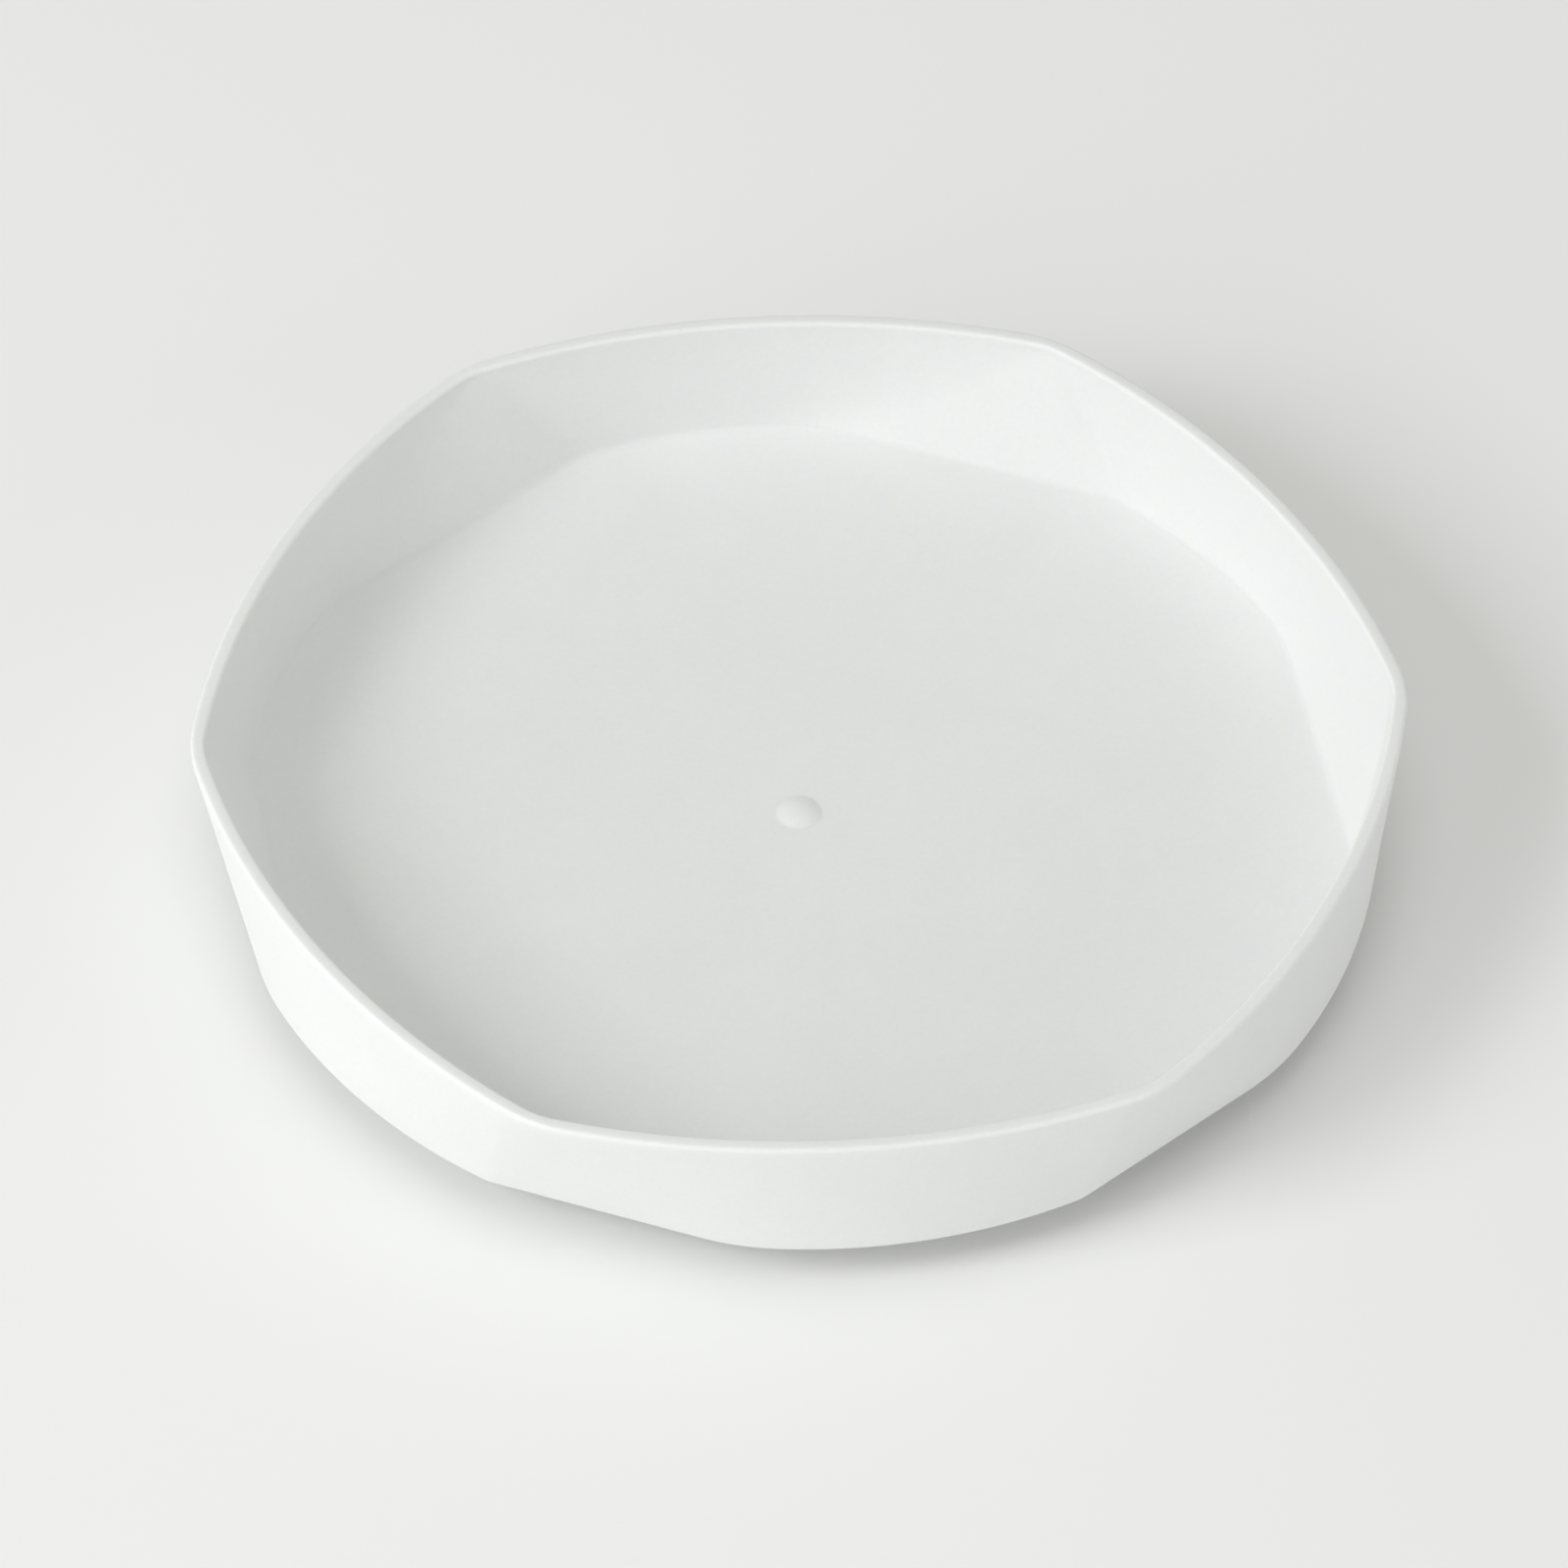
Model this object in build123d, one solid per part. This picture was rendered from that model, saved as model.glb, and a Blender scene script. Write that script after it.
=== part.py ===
from build123d import *
import math
import os

# Lazy susan turntable: a moulded tray that turns on a caged ball race over a low round base.
# Millimetres. Origin on the spin axis at the surface the turntable stands on, +Z up,
# +X through one of the tray's six rim corners. Azimuths are in degrees, anticlockwise from +X.

# Tray outline at the rim: six bowed sides that meet in rounded corners
SIDES = 6
SECTOR = 360 / SIDES
CORNER_REACH = 140.0  # axis to where two sides would meet before rounding
SIDE_REACH = 133.6  # axis to the middle of a side
CORNER_ROUND = 36.0
RIM_WALL = 3.5
RIM_BAND = 1.5  # upright band that the rim rounding is cut in
RIM_ROUND = 1.4

# Tray outline at the foot: a circle with six flats, turned against the rim's corners
FLAT_TURN = 6.5  # from a rim corner to the middle of the flat below it
FOOT_RADIUS = 133.1
FOOT_FLAT = 129.8  # axis to a flat
FOOT_ROUND = 1.5
FLOOR_RADIUS = 128.4
FLOOR_FLAT = 122.5
FLOOR_ROUND = 1.8

# Tray heights
TRAY_UNDERSIDE = 10.9
FLOOR_TOP = 13.5
RIM_TOP = 45.0
DOME_RADIUS = 5.4
DOME_HEIGHT = 1.4

# Ball race
BALL_COUNT = 24
BALL_RADIUS = 3.0
RACE_RADIUS = 70.0
BALL_HEIGHT = 7.5  # height of the ball centres
GROOVE_RADIUS = 3.3
BALL_GAP = 0.03  # running clearance at the bottom of each groove
RACE_WIDTH = 9.0
RACE_STANDOFF = 1.3  # race faces above and below the ball centres
CAGE_WIDTH = 11.0
CAGE_THICKNESS = 1.8
POCKET_GAP = 0.15
CAGE_ROUND = 0.4

# Tray underside
DUST_LIP_INNER = 97.5
DUST_LIP_WALL = 2.0
DUST_LIP_DROP = 1.9
TRAY_RIB_COUNT = 12
TRAY_RIB_WIDTH = 1.6
TRAY_RIB_DROP = 1.2
TRAY_RIB_REACH = 118.0
BOSS_RADIUS = 9.0
BOSS_END = 5.0
PILOT_RADIUS = 2.02
PILOT_TOP = 12.0
MARK_RADIUS = 3.0  # round marks that the mould's ejector pins leave
MARK_DEPTH = 0.2
TRAY_MARK_ROWS = (108.0, 85.0, 40.0)

# Base
BASE_RADIUS = 95.0
BASE_BOTTOM = 1.0
SKIRT_WALL = 2.4
SKIRT_TOP = 8.3
SKIRT_ROUND = 1.0
DECK_BOTTOM = 3.0
DECK_TOP = 5.2
CUP_RADIUS = 18.0
CUP_WALL = 2.5
WEB_BOTTOM = 5.2
WEB_TOP = 8.0
HUB_GAP = 0.05  # running clearance between the tray's boss and the base's hub
BASE_RIB_COUNT = 12
BASE_RIB_WIDTH = 1.8
BASE_RIB_BOTTOM = 1.4
RING_RIB_RADIUS = 45.0
BASE_MARK_ROWS = (60.0, 31.0)

# Feet
FOOT_COUNT = 6
FOOT_PITCH_RADIUS = 82.0
PAD_RADIUS = 7.0
PAD_HEIGHT = 2.5
PAD_ROUND = 0.5
POCKET_WALL = 1.9
PAD_FIT = 0.05

# Pivot screw and washer
WASHER_RADIUS = 13.0
WASHER_HOLE = 2.2
WASHER_BOTTOM = 3.5
WASHER_ROUND = 0.3
HEAD_RADIUS = 4.2
HEAD_BOTTOM = 1.1
HEAD_ROUND = 1.3
THREAD_RADIUS = 2.0
CORE_RADIUS = 1.5
THREAD_PITCH = 1.2
THREAD_TURNS = 6
TIP_LENGTH = 1.0
DRIVE_LENGTH = 4.4
DRIVE_WIDTH = 0.9
DRIVE_DEPTH = 1.3

LEVEL = 0.001  # how level an edge is, to count as lying at a height


AXIS_FOOT = Vector(0, 0, 0)


def spot(radius, azimuth, height=0.0, centre=AXIS_FOOT):
    """The point at a radius and azimuth about a centre, at a height."""
    angle = math.radians(azimuth)
    return centre + Vector(radius * math.cos(angle), radius * math.sin(angle), height)


def arc(centre, radius, start, end, height):
    """The arc about a centre from one azimuth to another, at a height."""
    points = [spot(radius, azimuth, height, centre) for azimuth in (start, (start + end) / 2, end)]
    return Edge.make_three_point_arc(*points)


def rim_outline(inset, height):
    """The rim's outline, set in from the outer face: rounded corners joined by bowed sides."""
    half_chord = CORNER_REACH * math.sin(math.radians(SECTOR / 2))
    bow = SIDE_REACH - CORNER_REACH * math.cos(math.radians(SECTOR / 2))
    side_radius = (half_chord**2 + bow**2) / (2 * bow)
    side_offset = side_radius - SIDE_REACH
    across = side_offset * math.sin(math.radians(SECTOR / 2))
    along = math.sqrt((side_radius - CORNER_ROUND) ** 2 - across**2)
    corner_offset = along - side_offset * math.cos(math.radians(SECTOR / 2))
    turn = math.degrees(math.atan2(across, along))
    edges = []
    for index in range(SIDES):
        azimuth = index * SECTOR
        corner_centre = spot(corner_offset, azimuth)
        side_centre = spot(-side_offset, azimuth + SECTOR / 2)
        edges.append(arc(corner_centre, CORNER_ROUND - inset, azimuth - turn, azimuth + turn, height))
        edges.append(arc(side_centre, side_radius - inset, azimuth + turn, azimuth + SECTOR - turn, height))
    return Wire(edges)


def foot_outline(radius, flat, height):
    """A circle with six flats, at a height."""
    half_flat = math.degrees(math.acos(flat / radius))
    edges = []
    for index in range(SIDES):
        azimuth = index * SECTOR + FLAT_TURN
        ends = [spot(radius, azimuth + side * half_flat, height) for side in (-1, 1)]
        edges.append(Edge.make_line(*ends))
        edges.append(arc(AXIS_FOOT, radius, azimuth + half_flat, azimuth + SECTOR - half_flat, height))
    return Wire(edges)


def dish(foot, inset):
    """The space inside the wall's outer or inner face: ruled sides under the upright rim band."""
    band_foot = RIM_TOP - RIM_BAND
    flare = Solid.make_loft([foot, rim_outline(inset, band_foot)], ruled=True)
    band = Solid.extrude(Face(rim_outline(inset, band_foot)), Vector(0, 0, RIM_BAND))
    return (flare + band).clean()


def ring(inner, outer, bottom, top):
    """A plain ring about the spin axis."""
    height = top - bottom
    disc = Pos(0, 0, (bottom + top) / 2) * Cylinder(outer, height)
    if inner:
        disc -= Pos(0, 0, (bottom + top) / 2) * Cylinder(inner, height)
    return disc


def groove(centre_height):
    """The round-bottomed track that the balls run in."""
    return Pos(0, 0, centre_height) * Torus(RACE_RADIUS, GROOVE_RADIUS)


def ribs(count, width, inner, outer, bottom, top, start=0.0):
    """Evenly spaced radial ribs."""
    blade = Box(outer - inner, width, top - bottom)
    blade = Pos((inner + outer) / 2, 0, (bottom + top) / 2) * blade
    return [Rot(0, 0, start + index * 360 / count) * blade for index in range(count)]


def ejector_marks(rows, surface, rib_count):
    """Shallow round marks in an underside, one in each gap between ribs at each row's radius."""
    mark = Cylinder(MARK_RADIUS, 2 * MARK_DEPTH)
    turns = [(index + 0.5) * 360 / rib_count for index in range(rib_count)]
    return [Pos(spot(radius, turn, surface)) * mark for radius in rows for turn in turns]


def edges_at(shape, height, radius=None):
    """The edges that lie level at a height, or only the circle of one radius there."""
    level = shape.edges().filter_by_position(Axis.Z, height - LEVEL, height + LEVEL)
    if radius is None:
        return level
    return level.filter_by(GeomType.CIRCLE).filter_by(lambda edge: math.isclose(edge.radius, radius))


def tray_shell():
    """The dish itself: floor, twisted wall and rounded rim, foot and floor corner."""
    outer = dish(foot_outline(FOOT_RADIUS, FOOT_FLAT, TRAY_UNDERSIDE), 0)
    inner = dish(foot_outline(FLOOR_RADIUS, FLOOR_FLAT, FLOOR_TOP), RIM_WALL)
    shell = (outer - inner).solids()[0]
    shell = shell.fillet(RIM_ROUND, edges_at(shell, RIM_TOP))
    shell = shell.fillet(FOOT_ROUND, edges_at(shell, TRAY_UNDERSIDE))
    return shell.fillet(FLOOR_ROUND, edges_at(shell, FLOOR_TOP))


def tray_dome():
    """The shallow dome in the middle of the floor, over the screw boss."""
    sphere_radius = (DOME_RADIUS**2 + DOME_HEIGHT**2) / (2 * DOME_HEIGHT)
    sphere = Pos(0, 0, FLOOR_TOP + DOME_HEIGHT - sphere_radius) * Sphere(sphere_radius)
    return sphere & ring(0, DOME_RADIUS, FLOOR_TOP - DOME_HEIGHT, FLOOR_TOP + DOME_HEIGHT)


def make_tray():
    race_half = RACE_WIDTH / 2
    race_face = BALL_HEIGHT + RACE_STANDOFF
    lip_outer = DUST_LIP_INNER + DUST_LIP_WALL
    tray = tray_shell() + tray_dome()
    tray += ring(RACE_RADIUS - race_half, RACE_RADIUS + race_half, race_face, FLOOR_TOP)
    tray += ring(DUST_LIP_INNER, lip_outer, TRAY_UNDERSIDE - DUST_LIP_DROP, FLOOR_TOP)
    tray += ring(0, BOSS_RADIUS, BOSS_END, FLOOR_TOP)
    rib_bottom = TRAY_UNDERSIDE - TRAY_RIB_DROP
    tray += ribs(TRAY_RIB_COUNT, TRAY_RIB_WIDTH, 0, TRAY_RIB_REACH, rib_bottom, FLOOR_TOP - FLOOR_ROUND / 2)
    tray -= groove(BALL_HEIGHT + BALL_RADIUS + BALL_GAP - GROOVE_RADIUS)
    tray -= ring(0, PILOT_RADIUS, BOSS_END, PILOT_TOP)
    return tray - ejector_marks(TRAY_MARK_ROWS, TRAY_UNDERSIDE, TRAY_RIB_COUNT)


def foot_places():
    return [spot(FOOT_PITCH_RADIUS, (index + 0.5) * 360 / FOOT_COUNT) for index in range(FOOT_COUNT)]


def make_base():
    race_half = RACE_WIDTH / 2
    race_face = BALL_HEIGHT - RACE_STANDOFF
    skirt_inner = BASE_RADIUS - SKIRT_WALL
    base = ring(CUP_RADIUS - CUP_WALL, BASE_RADIUS, DECK_BOTTOM, DECK_TOP)
    base += ring(skirt_inner, BASE_RADIUS, BASE_BOTTOM, SKIRT_TOP)
    base += ring(RACE_RADIUS - race_half, RACE_RADIUS + race_half, DECK_BOTTOM, race_face)
    base += ring(CUP_RADIUS - CUP_WALL, CUP_RADIUS, BASE_BOTTOM, WEB_TOP)
    base += ring(BOSS_RADIUS + HUB_GAP, CUP_RADIUS, WEB_BOTTOM, WEB_TOP)
    base += ring(RING_RIB_RADIUS, RING_RIB_RADIUS + BASE_RIB_WIDTH, BASE_RIB_BOTTOM, DECK_TOP)
    rib_inner = CUP_RADIUS - CUP_WALL / 2
    rib_outer = BASE_RADIUS - SKIRT_WALL / 2
    base += ribs(BASE_RIB_COUNT, BASE_RIB_WIDTH, rib_inner, rib_outer, BASE_RIB_BOTTOM, DECK_TOP)
    for place in foot_places():
        base += Pos(place) * ring(0, PAD_RADIUS + POCKET_WALL, BASE_BOTTOM, DECK_TOP)
        base -= Pos(place) * ring(0, PAD_RADIUS + PAD_FIT, BASE_BOTTOM, PAD_HEIGHT)
    base -= groove(BALL_HEIGHT - BALL_RADIUS - BALL_GAP + GROOVE_RADIUS)
    base -= ejector_marks(BASE_MARK_ROWS, DECK_BOTTOM, BASE_RIB_COUNT)
    base = base.fillet(SKIRT_ROUND, edges_at(base, SKIRT_TOP))
    return base.fillet(SKIRT_ROUND, edges_at(base, WEB_TOP, CUP_RADIUS))


def ball_turns():
    return [index * 360 / BALL_COUNT for index in range(BALL_COUNT)]


def make_cage():
    half_width = CAGE_WIDTH / 2
    low, high = BALL_HEIGHT - CAGE_THICKNESS / 2, BALL_HEIGHT + CAGE_THICKNESS / 2
    cage = ring(RACE_RADIUS - half_width, RACE_RADIUS + half_width, low, high)
    cage = cage.fillet(CAGE_ROUND, cage.edges().filter_by(GeomType.CIRCLE))
    pocket = Cylinder(BALL_RADIUS + POCKET_GAP, CAGE_THICKNESS)
    return cage - [Pos(spot(RACE_RADIUS, turn, BALL_HEIGHT)) * pocket for turn in ball_turns()]


def make_ball(turn):
    """A ball whose poles lie on the line that it rolls about, out from the spin axis."""
    rolling = Rot(0, 90, 0) * Sphere(BALL_RADIUS)
    return Rot(0, 0, turn) * Pos(RACE_RADIUS, 0, BALL_HEIGHT) * rolling


def make_pad():
    pad = ring(0, PAD_RADIUS, 0, PAD_HEIGHT)
    return pad.fillet(PAD_ROUND, edges_at(pad, 0))


def make_washer():
    washer = ring(WASHER_HOLE, WASHER_RADIUS, WASHER_BOTTOM, BOSS_END)
    return washer.fillet(WASHER_ROUND, edges_at(washer, WASHER_BOTTOM))


def make_screw():
    """A pan-head self-tapping screw driven upwards, its thread drawn as rings."""
    head = ring(0, HEAD_RADIUS, HEAD_BOTTOM, WASHER_BOTTOM)
    head = head.fillet(HEAD_ROUND, edges_at(head, HEAD_BOTTOM))
    for turn in (0, 90):
        slot = Rot(0, 0, turn) * Box(DRIVE_LENGTH, DRIVE_WIDTH, DRIVE_DEPTH)
        head -= Pos(0, 0, HEAD_BOTTOM + DRIVE_DEPTH / 2) * slot
    points = [(0, WASHER_BOTTOM), (CORE_RADIUS, WASHER_BOTTOM)]
    for index in range(THREAD_TURNS):
        foot = WASHER_BOTTOM + index * THREAD_PITCH
        points.append((THREAD_RADIUS, foot + THREAD_PITCH / 2))
        points.append((CORE_RADIUS, foot + THREAD_PITCH))
    points.append((0, WASHER_BOTTOM + THREAD_TURNS * THREAD_PITCH + TIP_LENGTH))
    profile = Plane.XZ * make_face(Polyline(*points, close=True))
    return head + revolve(profile, Axis.Z)


def write(shape, node):
    export_step(shape, f"parts/{node}.step")


os.makedirs("parts", exist_ok=True)
write(make_tray(), "tray")
write(make_base(), "base_plate")
write(make_cage(), "ball_cage")
write(make_washer(), "pivot_washer")
write(make_screw(), "pivot_screw")
for number, turn in enumerate(ball_turns(), start=1):
    write(make_ball(turn), f"ball_{number:02d}")
for number, place in enumerate(foot_places(), start=1):
    write(Pos(place) * make_pad(), f"foot_{number}")
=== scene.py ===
import math

import bmesh
import bpy
import numpy as np
from mathutils import Matrix, Vector


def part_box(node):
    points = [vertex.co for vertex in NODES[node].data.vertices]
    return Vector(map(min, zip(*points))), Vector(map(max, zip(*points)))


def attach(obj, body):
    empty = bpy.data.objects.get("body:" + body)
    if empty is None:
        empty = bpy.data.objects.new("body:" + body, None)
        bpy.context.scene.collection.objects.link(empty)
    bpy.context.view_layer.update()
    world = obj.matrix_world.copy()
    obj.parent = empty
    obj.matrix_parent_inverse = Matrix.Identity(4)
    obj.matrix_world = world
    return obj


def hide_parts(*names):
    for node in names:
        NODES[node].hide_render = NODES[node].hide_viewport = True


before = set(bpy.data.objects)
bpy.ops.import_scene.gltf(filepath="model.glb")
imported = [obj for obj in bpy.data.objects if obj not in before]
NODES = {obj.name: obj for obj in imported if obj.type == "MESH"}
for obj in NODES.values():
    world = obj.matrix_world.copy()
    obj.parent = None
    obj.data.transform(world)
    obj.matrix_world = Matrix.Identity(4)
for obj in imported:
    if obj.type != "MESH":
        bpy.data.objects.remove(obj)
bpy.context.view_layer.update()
MM = 0.001

# ---- the tray's shape ----
# The rim is six bowed sides that meet in rounded corners. The foot is a circle with six flats,
# turned against the corners, and each flat runs into the circle in a bend on one side. Ruled
# walls join the two, so a facet under each corner has one crease, and fades out at the bend.
# The sizes are the CAD's, apart from the bend, the roundings of rim and floor, and the rim's
# inner corners.
# CORNER_TIGHTENING is how much a rim corner's radius shrinks for each step inward, and
# BEND_SHARE is the share of a rim side that lies above a bend.
SIDES = 6
SECTOR = 360 / SIDES
CORNER_REACH = 140.0 * MM
SIDE_REACH = 133.6 * MM
CORNER_ROUND = 36.0 * MM
RIM_WALL = 3.5 * MM
RIM_BAND = 1.5 * MM
RIM_ROUND = 0.9 * MM
CORNER_TIGHTENING = 4.5
FLAT_TURN = 6.5
FOOT_RADIUS = 133.1 * MM
FOOT_FLAT = 129.8 * MM
FOOT_ROUND = 1.5 * MM
BEND_ROUND = 60.0 * MM
BEND_SHARE = 0.3
FLOOR_RADIUS = 128.4 * MM
FLOOR_FLAT = 122.5 * MM
FLOOR_ROUND = 1.7 * MM
RIM_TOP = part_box("tray")[1].z
FLOOR_TOP = 13.5 * MM
UNDERSIDE = 10.9 * MM
DOME_RADIUS = 5.4 * MM
DOME_HEIGHT = 1.4 * MM

# ---- the tray's underside, as the CAD has it, without ejector marks ----
BALLS = [name for name in NODES if name.startswith("ball_") and name != "ball_cage"]
BALL_LOW, BALL_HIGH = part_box("ball_01")
BALL_RADIUS = (BALL_HIGH.z - BALL_LOW.z) / 2
BALL_HEIGHT = (BALL_HIGH.z + BALL_LOW.z) / 2
RACE_RADIUS = (BALL_HIGH.x + BALL_LOW.x) / 2
RACE_HALF = 4.5 * MM
RACE_FACE = BALL_HEIGHT + 1.3 * MM
GROOVE_RADIUS = 3.3 * MM
BALL_GAP = 0.03 * MM
LIP_INNER = 97.5 * MM
LIP_OUTER = 99.5 * MM
LIP_BOTTOM = UNDERSIDE - 1.9 * MM
BOSS_RADIUS = 9.0 * MM
BOSS_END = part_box("tray")[0].z
PILOT_RADIUS = 2.02 * MM
PILOT_TOP = 12.0 * MM
RIB_COUNT = 12
RIB_WIDTH = 1.6 * MM
RIB_DROP = 1.2 * MM
RIB_REACH = 118.0 * MM

# ---- mesh fineness ----
FACET_COLUMNS = 40
BEND_COLUMNS = 16
PATCH_COLUMNS = 40
WALL_ROWS = 18
ROUND_ROWS = 6
FLOOR_ROWS = 16
PROFILE_STEPS = 3
EDGE_ROUND = 0.3 * MM
BEVEL_SEGMENTS = 2
SMOOTH_ANGLE = math.radians(32)


def on_circle(radius, degrees, centre=(0, 0)):
    """Plan points on a circle at an array of azimuths."""
    angle = np.radians(degrees)
    return np.stack((centre[0] + radius * np.cos(angle), centre[1] + radius * np.sin(angle)), 1)


def steps(start, end, count):
    """Evenly spaced values from start up to, but without, end."""
    return start + (end - start) * np.arange(count) / count


def soften(plan):
    """Rounds the creases of a closed outline a little, over one column on each side."""
    return (np.roll(plan, 1, 0) + 2 * plan + np.roll(plan, -1, 0)) / 4


def rim_plan(inset):
    """The rim's outline, set in from its outer face, one point for each mesh column."""
    half = math.radians(SECTOR / 2)
    bow = SIDE_REACH - CORNER_REACH * math.cos(half)
    side_radius = ((CORNER_REACH * math.sin(half)) ** 2 + bow**2) / (2 * bow)
    side_offset = side_radius - SIDE_REACH
    side_radius -= inset
    corner_radius = CORNER_ROUND - CORNER_TIGHTENING * inset
    across = side_offset * math.sin(half)
    along = math.sqrt((side_radius - corner_radius) ** 2 - across**2)
    corner_offset = along - side_offset * math.cos(half)
    turn = math.degrees(math.atan2(across, along))
    bend_end = turn + BEND_SHARE * (SECTOR - 2 * turn)
    points = []
    for azimuth in np.arange(SIDES) * SECTOR:
        corner_centre = on_circle(corner_offset, np.array([azimuth]))[0]
        side_centre = on_circle(-side_offset, np.array([azimuth + SECTOR / 2]))[0]
        corner = azimuth + steps(-turn, turn, FACET_COLUMNS)
        bend = azimuth + steps(turn, bend_end, BEND_COLUMNS)
        side = azimuth + steps(bend_end, SECTOR - turn, PATCH_COLUMNS)
        points.append(on_circle(corner_radius, corner, corner_centre))
        points.append(on_circle(side_radius, bend, side_centre))
        points.append(on_circle(side_radius, side, side_centre))
    return soften(np.concatenate(points))


def foot_plan(radius, flat):
    """A circle with six flats, each with a bend at one end, one point for each mesh column."""
    crease = math.acos(flat / radius)
    bend = math.acos((flat - BEND_ROUND) / (radius - BEND_ROUND))
    bend_offset = (radius - BEND_ROUND) * math.sin(bend)
    flat_places = steps(-radius * math.sin(crease), bend_offset, FACET_COLUMNS)
    points = []
    for azimuth in np.arange(SIDES) * SECTOR + FLAT_TURN:
        outward, along = on_circle(1.0, np.array([azimuth, azimuth + 90]))
        bend_centre = outward * (flat - BEND_ROUND) + along * bend_offset
        bend_turns = azimuth + steps(0, math.degrees(bend), BEND_COLUMNS)
        arc_turns = azimuth + steps(math.degrees(bend), SECTOR - math.degrees(crease), PATCH_COLUMNS)
        points.append(outward * flat + np.outer(flat_places, along))
        points.append(on_circle(BEND_ROUND, bend_turns, bend_centre))
        points.append(on_circle(radius, arc_turns))
    return soften(np.concatenate(points))


def at_height(plan, height):
    """Plan points raised to one height."""
    return np.column_stack((plan, np.full(len(plan), height)))


def blend_rows(first, last, count):
    """Rows of points in straight lines from one row to another."""
    return [first + (last - first) * share for share in np.linspace(0, 1, count)]


def rounded_corner(first, corner, last, count):
    """Points, or whole rows of them, on a curve that leaves out the corner between two others."""
    curve = []
    for share in np.linspace(0, 1, count):
        curve.append((1 - share) ** 2 * first + 2 * share * (1 - share) * corner + share**2 * last)
    return curve


def toward(start, end, length):
    """Points a length along the lines from one row to another."""
    way = end - start
    return start + way * (length / np.linalg.norm(way, axis=1))[:, None]


def rounded_profile(points, radius):
    """A radius-height outline with every corner between its ends rounded."""
    points = [np.array(point) for point in points]
    rounded = [points[0]]
    for before, corner, after in zip(points, points[1:], points[2:]):
        reach = [min(radius, np.linalg.norm(end - corner) / 2) for end in (before, after)]
        first = corner + (before - corner) / np.linalg.norm(before - corner) * reach[0]
        last = corner + (after - corner) / np.linalg.norm(after - corner) * reach[1]
        rounded += rounded_corner(first, corner, last, PROFILE_STEPS)
    rounded.append(points[-1])
    return rounded


def mesh_of_rows(name, rows, first_pole, last_pole):
    """A closed mesh of quads between rows of points, with a fan at each pole."""
    columns = len(rows[0])
    vertices = [tuple(first_pole)] + [tuple(point) for row in rows for point in row] + [tuple(last_pole)]
    faces = []
    for column in range(columns):
        following = (column + 1) % columns
        faces.append((0, 1 + column, 1 + following))
        for row in range(len(rows) - 1):
            here, there = 1 + row * columns, 1 + (row + 1) * columns
            faces.append((here + column, there + column, there + following, here + following))
        last = 1 + (len(rows) - 1) * columns
        faces.append((last + column, len(vertices) - 1, last + following))
    mesh = bpy.data.meshes.new(name)
    mesh.from_pydata(vertices, [], faces)
    return add_piece(name, mesh)


def add_piece(name, mesh):
    """An object for a new mesh, shaded smooth up to SMOOTH_ANGLE."""
    mesh.validate()
    mesh.shade_smooth()
    mesh.set_sharp_from_angle(angle=SMOOTH_ANGLE)
    piece = bpy.data.objects.new(name, mesh)
    bpy.context.scene.collection.objects.link(piece)
    return piece


def floor_rows(azimuths):
    """The dome in the middle of the floor, and the floor out to its corner."""
    sphere = (DOME_RADIUS**2 + DOME_HEIGHT**2) / (2 * DOME_HEIGHT)
    half_angle = math.asin(DOME_RADIUS / sphere)
    rows = []
    for angle in np.linspace(0, half_angle, ROUND_ROWS + 2)[1:]:
        height = FLOOR_TOP + DOME_HEIGHT - sphere * (1 - math.cos(angle))
        rows.append(at_height(on_circle(sphere * math.sin(angle), azimuths), height))
    inner = at_height(on_circle(DOME_RADIUS + EDGE_ROUND, azimuths), FLOOR_TOP)
    outer = at_height(foot_plan(FLOOR_RADIUS - FLOOR_ROUND, FLOOR_FLAT - FLOOR_ROUND), FLOOR_TOP)
    support = toward(outer, inner, EDGE_ROUND)
    return rows + blend_rows(inner, support, FLOOR_ROWS)


def inner_wall_rows():
    """The floor's corner and the wall's inner face, up to the rim band."""
    floor_edge = at_height(foot_plan(FLOOR_RADIUS - FLOOR_ROUND, FLOOR_FLAT - FLOOR_ROUND), FLOOR_TOP)
    foot = at_height(foot_plan(FLOOR_RADIUS, FLOOR_FLAT), FLOOR_TOP)
    top = at_height(rim_plan(RIM_WALL), RIM_TOP - RIM_BAND)
    wall_start = toward(foot, top, FLOOR_ROUND)
    corner = rounded_corner(floor_edge, foot, wall_start, ROUND_ROWS)
    return corner + blend_rows(wall_start, top, WALL_ROWS)[1:]


def rim_rows():
    """The rounded rim, from its inner edge to its outer edge."""
    rows = []
    centre = RIM_TOP - RIM_ROUND
    angles = np.linspace(0, math.pi / 2, ROUND_ROWS)
    for angle in angles:
        inset = RIM_WALL - RIM_ROUND + RIM_ROUND * math.cos(angle)
        rows.append(at_height(rim_plan(inset), centre + RIM_ROUND * math.sin(angle)))
    for angle in angles[::-1]:
        inset = RIM_ROUND - RIM_ROUND * math.cos(angle)
        rows.append(at_height(rim_plan(inset), centre + RIM_ROUND * math.sin(angle)))
    return rows


def outer_wall_rows():
    """The wall's outer face, down to the foot's rounded edge and onto the underside."""
    top = at_height(rim_plan(0), RIM_TOP - RIM_BAND)
    foot = at_height(foot_plan(FOOT_RADIUS, FOOT_FLAT), UNDERSIDE)
    under_edge = at_height(foot_plan(FOOT_RADIUS - FOOT_ROUND, FOOT_FLAT - FOOT_ROUND), UNDERSIDE)
    wall_end = toward(foot, top, FOOT_ROUND)
    corner = rounded_corner(wall_end, foot, under_edge, ROUND_ROWS)
    return blend_rows(top, wall_end, WALL_ROWS)[:-1] + corner


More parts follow.
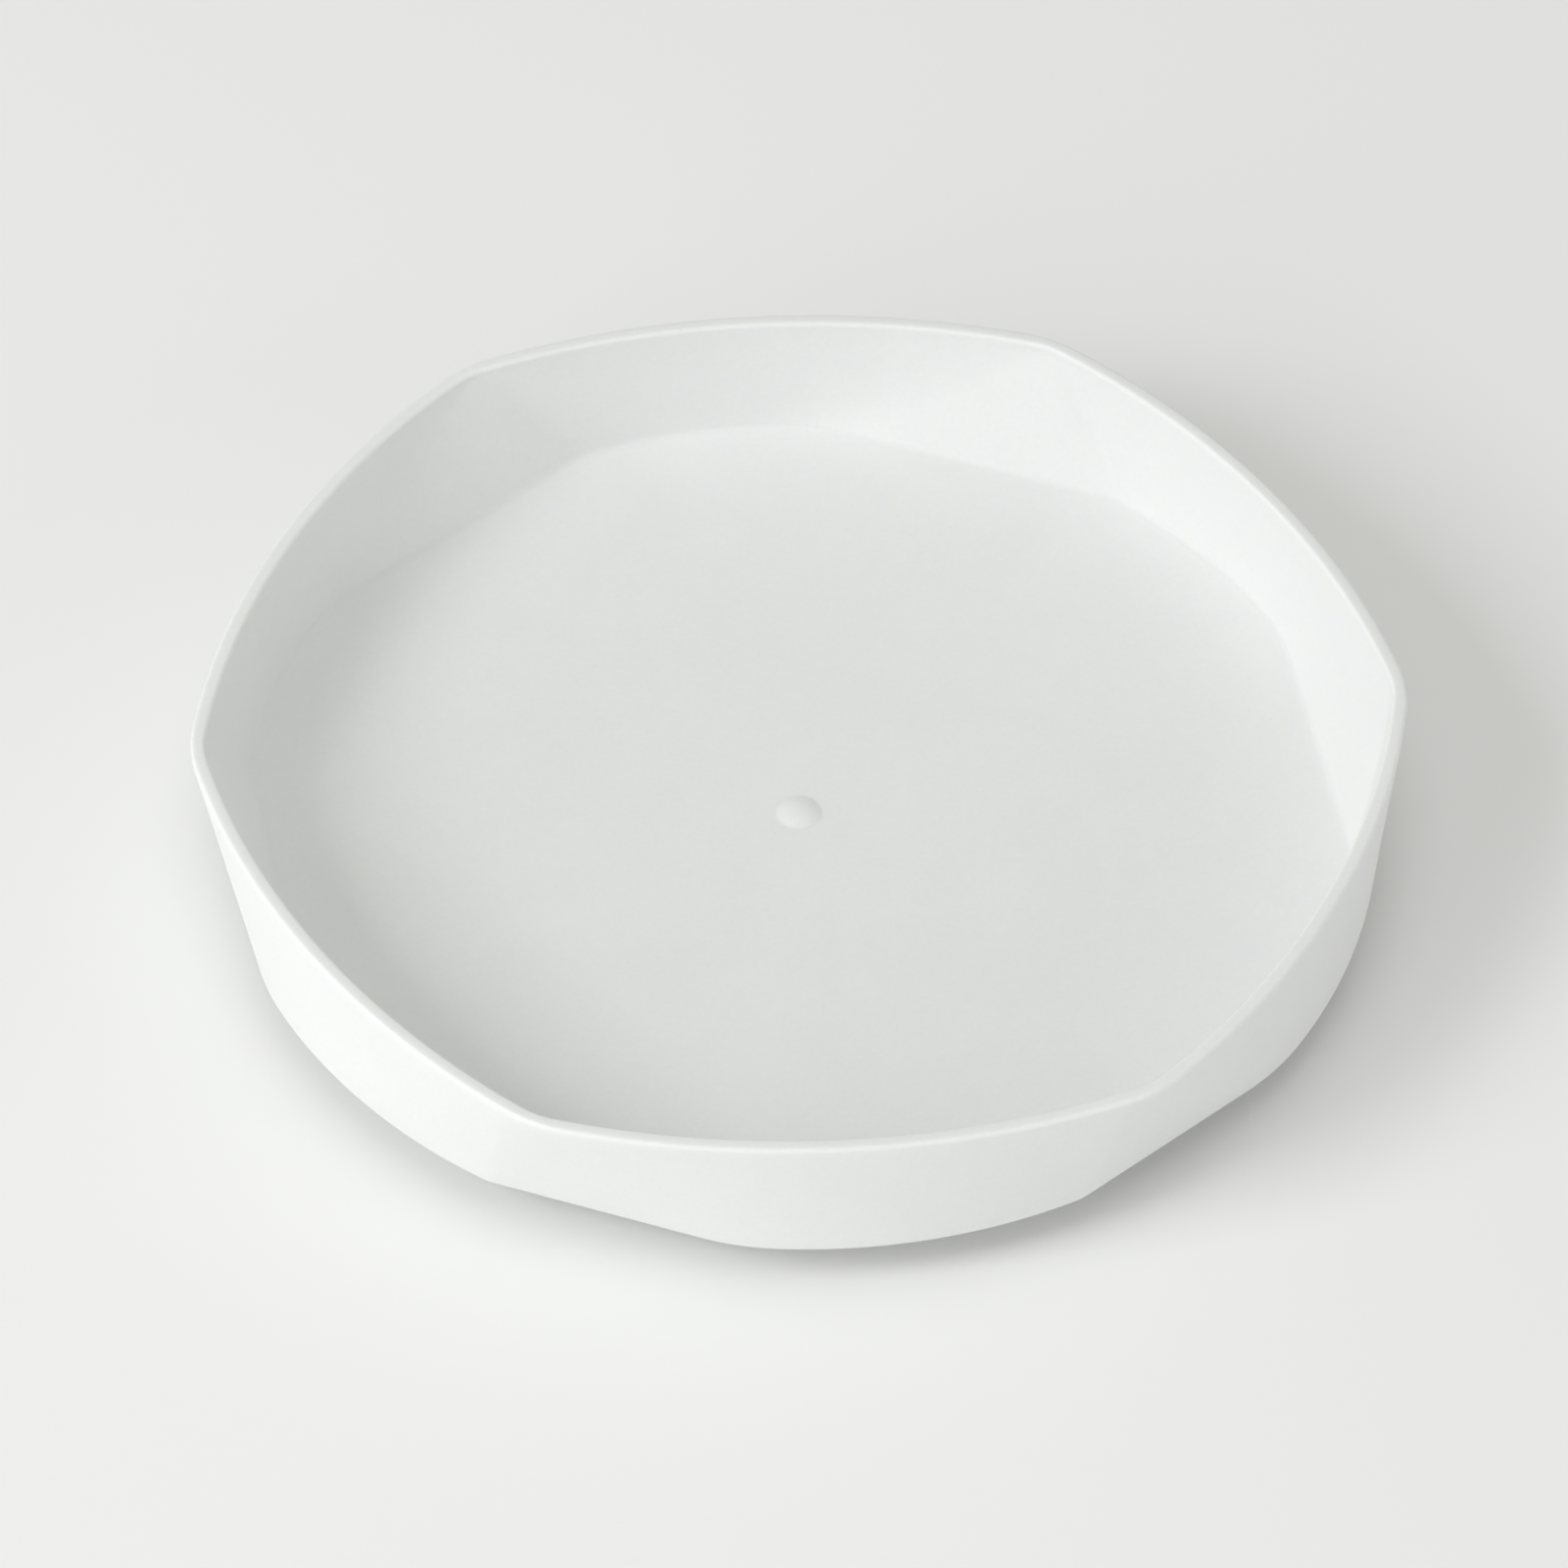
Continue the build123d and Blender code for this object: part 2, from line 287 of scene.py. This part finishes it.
def underside_rows(azimuths):
    """The underside: flat out at the foot, then the dust lip, the ball race and the screw boss."""
    foot_edge = at_height(foot_plan(FOOT_RADIUS - FOOT_ROUND, FOOT_FLAT - FOOT_ROUND), UNDERSIDE)
    lip_edge = at_height(on_circle(LIP_OUTER + EDGE_ROUND, azimuths), UNDERSIDE)
    support = toward(foot_edge, lip_edge, EDGE_ROUND)
    groove_centre = BALL_HEIGHT + BALL_RADIUS + BALL_GAP - GROOVE_RADIUS
    mouth = math.acos((RACE_FACE - groove_centre) / GROOVE_RADIUS)
    groove = []
    for angle in np.linspace(mouth, -mouth, 2 * ROUND_ROWS):
        radius = RACE_RADIUS + GROOVE_RADIUS * math.sin(angle)
        height = groove_centre + GROOVE_RADIUS * math.cos(angle)
        groove.append(np.array((radius, height)))
    lip = [(LIP_OUTER + 2 * EDGE_ROUND, UNDERSIDE), (LIP_OUTER, UNDERSIDE), (LIP_OUTER, LIP_BOTTOM)]
    lip += [(LIP_INNER, LIP_BOTTOM), (LIP_INNER, UNDERSIDE)]
    race_outer = [(RACE_RADIUS + RACE_HALF, UNDERSIDE), (RACE_RADIUS + RACE_HALF, RACE_FACE), groove[0]]
    race_inner = [groove[-1], (RACE_RADIUS - RACE_HALF, RACE_FACE), (RACE_RADIUS - RACE_HALF, UNDERSIDE)]
    boss = [(BOSS_RADIUS, UNDERSIDE), (BOSS_RADIUS, BOSS_END)]
    boss += [(PILOT_RADIUS, BOSS_END), (PILOT_RADIUS, PILOT_TOP)]
    profile = rounded_profile(lip + race_outer, EDGE_ROUND) + groove[1:-1]
    profile += rounded_profile(race_inner + boss, EDGE_ROUND)
    rows = blend_rows(support, lip_edge, ROUND_ROWS)
    return rows + [at_height(on_circle(radius, azimuths), height) for radius, height in profile[1:]]


def build_tray():
    """The tray's moulding as one closed mesh, from the middle of the floor to the screw's pilot hole."""
    foot = foot_plan(FLOOR_RADIUS, FLOOR_FLAT)
    azimuths = np.degrees(np.arctan2(foot[:, 1], foot[:, 0]))
    rows = floor_rows(azimuths) + inner_wall_rows() + rim_rows()
    rows += outer_wall_rows() + underside_rows(azimuths)
    tray = mesh_of_rows("tray_moulding", rows, (0, 0, FLOOR_TOP + DOME_HEIGHT), (0, 0, PILOT_TOP))
    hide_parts("tray")
    return tray


def build_ribs():
    """The radial ribs under the floor, cut where the race, the dust lip and the boss stand."""
    race_edges = (RACE_RADIUS - RACE_HALF, RACE_RADIUS + RACE_HALF)
    spans = [(BOSS_RADIUS, race_edges[0]), (race_edges[1], LIP_INNER), (LIP_OUTER, RIB_REACH)]
    bottom = UNDERSIDE - RIB_DROP
    overlap = EDGE_ROUND
    built = bmesh.new()
    for index in range(RIB_COUNT):
        turn = Matrix.Rotation(index * 2 * math.pi / RIB_COUNT, 4, "Z")
        for start, end in spans:
            length = end - start + 2 * overlap
            height = RIB_DROP + overlap
            size = Matrix.Diagonal((length, RIB_WIDTH, height, 1))
            place = Matrix.Translation(((start + end) / 2, 0, bottom + height / 2))
            bmesh.ops.create_cube(built, size=1, matrix=turn @ place @ size)
    edges = built.edges[:]
    bmesh.ops.bevel(built, geom=edges, offset=EDGE_ROUND / 2, segments=BEVEL_SEGMENTS, affect="EDGES")
    mesh = bpy.data.meshes.new("tray_ribs")
    built.to_mesh(mesh)
    built.free()
    return add_piece("tray_ribs", mesh)


# ---- materials ----
# Sizes and depths are those of the marks, in metres. Colours are linear, and go in pairs that are mixed.
TRAY_COLOURS = ((0.862, 0.872, 0.864), (0.840, 0.850, 0.842))
BASE_COLOURS = ((0.80, 0.81, 0.785), (0.775, 0.785, 0.76))
CAGE_COLOURS = ((0.74, 0.74, 0.70), (0.70, 0.70, 0.655))
TRAY_ROUGHNESS = (0.50, 0.62)
BASE_ROUGHNESS = (0.44, 0.58)
CAGE_ROUGHNESS = (0.3, 0.42)
PLASTIC_IOR = 1.49
SCATTER_DEPTH = 1.0 * MM
SCATTER_COLOUR = (1.0, 0.96, 0.84)
FLOW_SIZE = 38 * MM
SPECK_SIZE = 1.1 * MM
RUB_SIZE = 14 * MM
SINK_SIZE = 45 * MM
SINK_DEPTH = 0.05 * MM
GRAIN_SIZE = 0.9 * MM
GRAIN_DEPTH = 0.006 * MM
FINE_GRAIN_SIZE = 0.25 * MM

STEEL_COLOURS = ((0.60, 0.60, 0.61), (0.72, 0.72, 0.73))
STEEL_ROUGHNESS = (0.08, 0.2)
STEEL_CLOUD_SIZE = 1.5 * MM
POLISH_SIZE = 0.5 * MM
POLISH_STRETCH = (1, 6, 1)
POLISH_DEPTH = 0.001 * MM

ZINC_COLOURS = ((0.50, 0.52, 0.55), (0.70, 0.70, 0.69))
ZINC_ROUGHNESS = (0.22, 0.42)
SPANGLE_SIZE = 2.5 * MM
ZINC_RUB_SIZE = 0.8 * MM
ZINC_GRAIN_SIZE = 0.3 * MM
ZINC_GRAIN_DEPTH = 0.004 * MM

RUBBER_COLOURS = ((0.34, 0.345, 0.34), (0.47, 0.47, 0.455))
RUBBER_ROUGHNESS = (0.72, 0.9)
DUST_SIZE = 3 * MM
DUST_RANGE = (0.35, 0.75)
PEBBLE_SIZE = 0.45 * MM
PEBBLE_DEPTH = 0.03 * MM

# Where most of a noise's values lie, and most of the sum of two.
NOISE_RANGE = (0.3, 0.7)
SUM_RANGE = (0.75, 1.25)


def node(tree, kind, inputs, **settings):
    """A shader node with its settings, and with values or links on its inputs."""
    made = tree.nodes.new(kind)
    for name, value in settings.items():
        setattr(made, name, value)
    for name, value in inputs.items():
        if isinstance(value, bpy.types.NodeSocket):
            tree.links.new(value, made.inputs[name])
        else:
            made.inputs[name].default_value = value
    return made


def noise(tree, size, detail=2.0, rough=0.5, distortion=0.0, stretch=(1, 1, 1)):
    """Noise whose features are about size metres across."""
    place = node(tree, "ShaderNodeTexCoord", {}).outputs["Object"]
    mapped = node(tree, "ShaderNodeMapping", {"Vector": place, "Scale": stretch}).outputs["Vector"]
    inputs = {"Vector": mapped, "Scale": 1 / size, "Detail": detail}
    inputs |= {"Roughness": rough, "Distortion": distortion}
    return node(tree, "ShaderNodeTexNoise", inputs).outputs["Fac"]


def spread(tree, value, low, high, source=NOISE_RANGE):
    """A value's source range spread over another range."""
    inputs = {"Value": value, "From Min": source[0], "From Max": source[1]}
    inputs |= {"To Min": low, "To Max": high}
    return node(tree, "ShaderNodeMapRange", inputs).outputs["Result"]


def mixed_colour(tree, share, first, second):
    """A colour between two others. The Mix node's inputs share names, so they go by number."""
    factor, colour_a, colour_b, colour_result = 0, 6, 7, 2
    inputs = {factor: share, colour_a: (*first, 1), colour_b: (*second, 1)}
    return node(tree, "ShaderNodeMix", inputs, data_type="RGBA").outputs[colour_result]


def bump(tree, height, depth, under=None):
    """A bump of a depth in metres, on top of another bump if one is given."""
    inputs = {"Height": height, "Distance": depth}
    if under is not None:
        inputs["Normal"] = under
    return node(tree, "ShaderNodeBump", inputs).outputs["Normal"]


def start_material(name):
    """A new material, its node tree and its main shader."""
    material = bpy.data.materials.new(name)
    material.use_nodes = True
    tree = material.node_tree
    return material, tree, tree.nodes["Principled BSDF"]


def moulded_plastic(name, colours, roughness):
    """Injection-moulded plastic, a little translucent, with a fine eroded grain and faint sink waves."""
    material, tree, shader = start_material(name)
    flow = noise(tree, FLOW_SIZE, detail=3.0, rough=0.55, distortion=0.8)
    specks = noise(tree, SPECK_SIZE)
    tone = node(tree, "ShaderNodeMath", {0: flow, 1: specks}, operation="ADD").outputs[0]
    colour = mixed_colour(tree, spread(tree, tone, 0, 1, SUM_RANGE), *colours)
    tree.links.new(colour, shader.inputs["Base Color"])
    rubbed = noise(tree, RUB_SIZE, detail=5.0, rough=0.65, distortion=1.5)
    tree.links.new(spread(tree, rubbed, *roughness), shader.inputs["Roughness"])
    waves = bump(tree, noise(tree, SINK_SIZE, detail=1.0), SINK_DEPTH)
    coarse = bump(tree, noise(tree, GRAIN_SIZE, detail=3.0, rough=0.6), GRAIN_DEPTH, under=waves)
    fine = bump(tree, noise(tree, FINE_GRAIN_SIZE, rough=0.7), GRAIN_DEPTH / 2, under=coarse)
    tree.links.new(fine, shader.inputs["Normal"])
    shader.inputs["IOR"].default_value = PLASTIC_IOR
    shader.inputs["Subsurface Weight"].default_value = 1.0
    shader.inputs["Subsurface Radius"].default_value = SCATTER_COLOUR
    shader.inputs["Subsurface Scale"].default_value = SCATTER_DEPTH
    return material


def polished_steel():
    """Bearing steel: bright, with hair-fine polishing marks."""
    material, tree, shader = start_material("ball_steel")
    shader.inputs["Metallic"].default_value = 1.0
    cloud = noise(tree, STEEL_CLOUD_SIZE, detail=3.0)
    tree.links.new(mixed_colour(tree, cloud, *STEEL_COLOURS), shader.inputs["Base Color"])
    marks = noise(tree, POLISH_SIZE, detail=4.0, rough=0.7, distortion=0.5, stretch=POLISH_STRETCH)
    tree.links.new(spread(tree, marks, *STEEL_ROUGHNESS), shader.inputs["Roughness"])
    tree.links.new(bump(tree, marks, POLISH_DEPTH), shader.inputs["Normal"])
    return material


def zinc_plate():
    """Zinc-plated steel: cloudy spangle and rubbed patches."""
    material, tree, shader = start_material("fastener_steel")
    shader.inputs["Metallic"].default_value = 1.0
    cloud = noise(tree, SPANGLE_SIZE, detail=4.0, rough=0.6, distortion=1.2)
    tree.links.new(mixed_colour(tree, cloud, *ZINC_COLOURS), shader.inputs["Base Color"])
    rubbed = noise(tree, ZINC_RUB_SIZE, detail=4.0, rough=0.7)
    tree.links.new(spread(tree, rubbed, *ZINC_ROUGHNESS), shader.inputs["Roughness"])
    grain = noise(tree, ZINC_GRAIN_SIZE, detail=3.0)
    tree.links.new(bump(tree, grain, ZINC_GRAIN_DEPTH), shader.inputs["Normal"])
    return material


def pad_rubber():
    """Soft grey rubber: matte, with a fine pebble and a little dust."""
    material, tree, shader = start_material("pad_rubber")
    dust = spread(tree, noise(tree, DUST_SIZE, detail=5.0, rough=0.7, distortion=1.0), 0, 1, DUST_RANGE)
    tree.links.new(mixed_colour(tree, dust, *RUBBER_COLOURS), shader.inputs["Base Color"])
    tree.links.new(spread(tree, dust, *RUBBER_ROUGHNESS), shader.inputs["Roughness"])
    pebble = noise(tree, PEBBLE_SIZE, detail=3.0, rough=0.6)
    tree.links.new(bump(tree, pebble, PEBBLE_DEPTH), shader.inputs["Normal"])
    return material


def paint(names, material):
    """Gives CAD nodes a material of their own."""
    for name in names:
        for place in NODES[name].material_slots:
            place.material = material


def dress():
    """The tray's moulding in place of its CAD solid, and a material on every piece."""
    tray_plastic = moulded_plastic("tray_plastic", TRAY_COLOURS, TRAY_ROUGHNESS)
    base_plastic = moulded_plastic("base_plastic", BASE_COLOURS, BASE_ROUGHNESS)
    cage_plastic = moulded_plastic("cage_plastic", CAGE_COLOURS, CAGE_ROUGHNESS)
    for piece in (build_tray(), build_ribs()):
        piece.data.materials.append(tray_plastic)
        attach(piece, "tray")
    paint(["base_plate"], base_plastic)
    paint(["ball_cage"], cage_plastic)
    paint(BALLS, polished_steel())
    paint(["pivot_screw", "pivot_washer"], zinc_plate())
    paint([name for name in NODES if name.startswith("foot_")], pad_rubber())


# ---- stage ----
# The camera looks at the middle of the tray's floor with a long lens, from CAMERA_TURN degrees
# round from the -Y axis. CAMERA_RIGHT and CAMERA_UP are how far that point lies right of and
# above the middle of the picture.
CAMERA_TURN = -5.42
CAMERA_ELEVATION = 45.9
CAMERA_ROLL = -1.02
CAMERA_DISTANCE = 2.539
CAMERA_LENS = 252.9
CAMERA_RIGHT = 3.53 * MM
CAMERA_UP = -6.51 * MM
FLOOR_SIZE = 6.0
FLOOR_WHITE = (0.94, 0.94, 0.93)
FLOOR_ROUGHNESS = 0.9
WORLD_STRENGTH = 0.50
WORLD_COLOUR = (1.0, 1.0, 0.965)
LIGHT_DISTANCE = 3.0
LIGHT_SIZE = 1.3
LIGHT_COLOUR = (0.985, 1.0, 1.02)
# Each soft light's azimuth and elevation in degrees, and its watts.
LIGHTS = {
    "key": (202.5, 38, 31.9),
    "low_key": (225, 18, 13.5),
    "overhead": (270, 76, 8.6),
    "fill": (330, 18, 7.0),
}


def add_camera():
    """A long lens, placed and rolled so that the tray fills the frame."""
    turn = math.radians(CAMERA_TURN)
    tilt = math.radians(CAMERA_ELEVATION)
    roll = math.radians(CAMERA_ROLL)
    right = Vector((math.cos(turn), math.sin(turn), 0))
    ahead = Vector((-math.sin(turn), math.cos(turn), 0))
    forward = ahead * math.cos(tilt) - Vector((0, 0, math.sin(tilt)))
    up = ahead * math.sin(tilt) + Vector((0, 0, math.cos(tilt)))
    place = Vector((0, 0, FLOOR_TOP)) - forward * CAMERA_DISTANCE
    place -= right * CAMERA_RIGHT + up * CAMERA_UP
    image_right = right * math.cos(roll) - up * math.sin(roll)
    image_up = right * math.sin(roll) + up * math.cos(roll)
    axes = Matrix((image_right, image_up, -forward)).transposed()
    data = bpy.data.cameras.new("camera")
    data.lens = CAMERA_LENS
    data.clip_end = 2 * FLOOR_SIZE
    camera = bpy.data.objects.new("camera", data)
    camera.matrix_world = Matrix.Translation(place) @ axes.to_4x4()
    bpy.context.scene.collection.objects.link(camera)
    bpy.context.scene.camera = camera


def add_floor():
    """A plain white floor."""
    material, _, shader = start_material("floor")
    shader.inputs["Base Color"].default_value = (*FLOOR_WHITE, 1)
    shader.inputs["Roughness"].default_value = FLOOR_ROUGHNESS
    bpy.ops.mesh.primitive_plane_add(size=FLOOR_SIZE)
    floor = bpy.context.object
    floor.name = "floor"
    floor.data.materials.append(material)


def soft_box(name, azimuth, elevation, watts):
    """A soft square light that faces the object."""
    around, above = math.radians(azimuth), math.radians(elevation)
    level = math.cos(above)
    direction = Vector((level * math.cos(around), level * math.sin(around), math.sin(above)))
    data = bpy.data.lights.new(name, "AREA")
    data.size = LIGHT_SIZE
    data.energy = watts
    data.color = LIGHT_COLOUR
    light = bpy.data.objects.new(name, data)
    light.location = direction * LIGHT_DISTANCE
    light.rotation_euler = (-direction).to_track_quat("-Z", "Y").to_euler()
    bpy.context.scene.collection.objects.link(light)


def add_world():
    """An even light from all round, like a white room's."""
    world = bpy.data.worlds.new("world")
    world.use_nodes = True
    background = world.node_tree.nodes["Background"]
    background.inputs["Color"].default_value = (*WORLD_COLOUR, 1)
    background.inputs["Strength"].default_value = WORLD_STRENGTH
    bpy.context.scene.world = world


def main():
    dress()
    add_camera()
    add_floor()
    add_world()
    for name, (azimuth, elevation, watts) in LIGHTS.items():
        soft_box(name, azimuth, elevation, watts)
    bpy.context.scene.view_settings.view_transform = "Standard"


main()
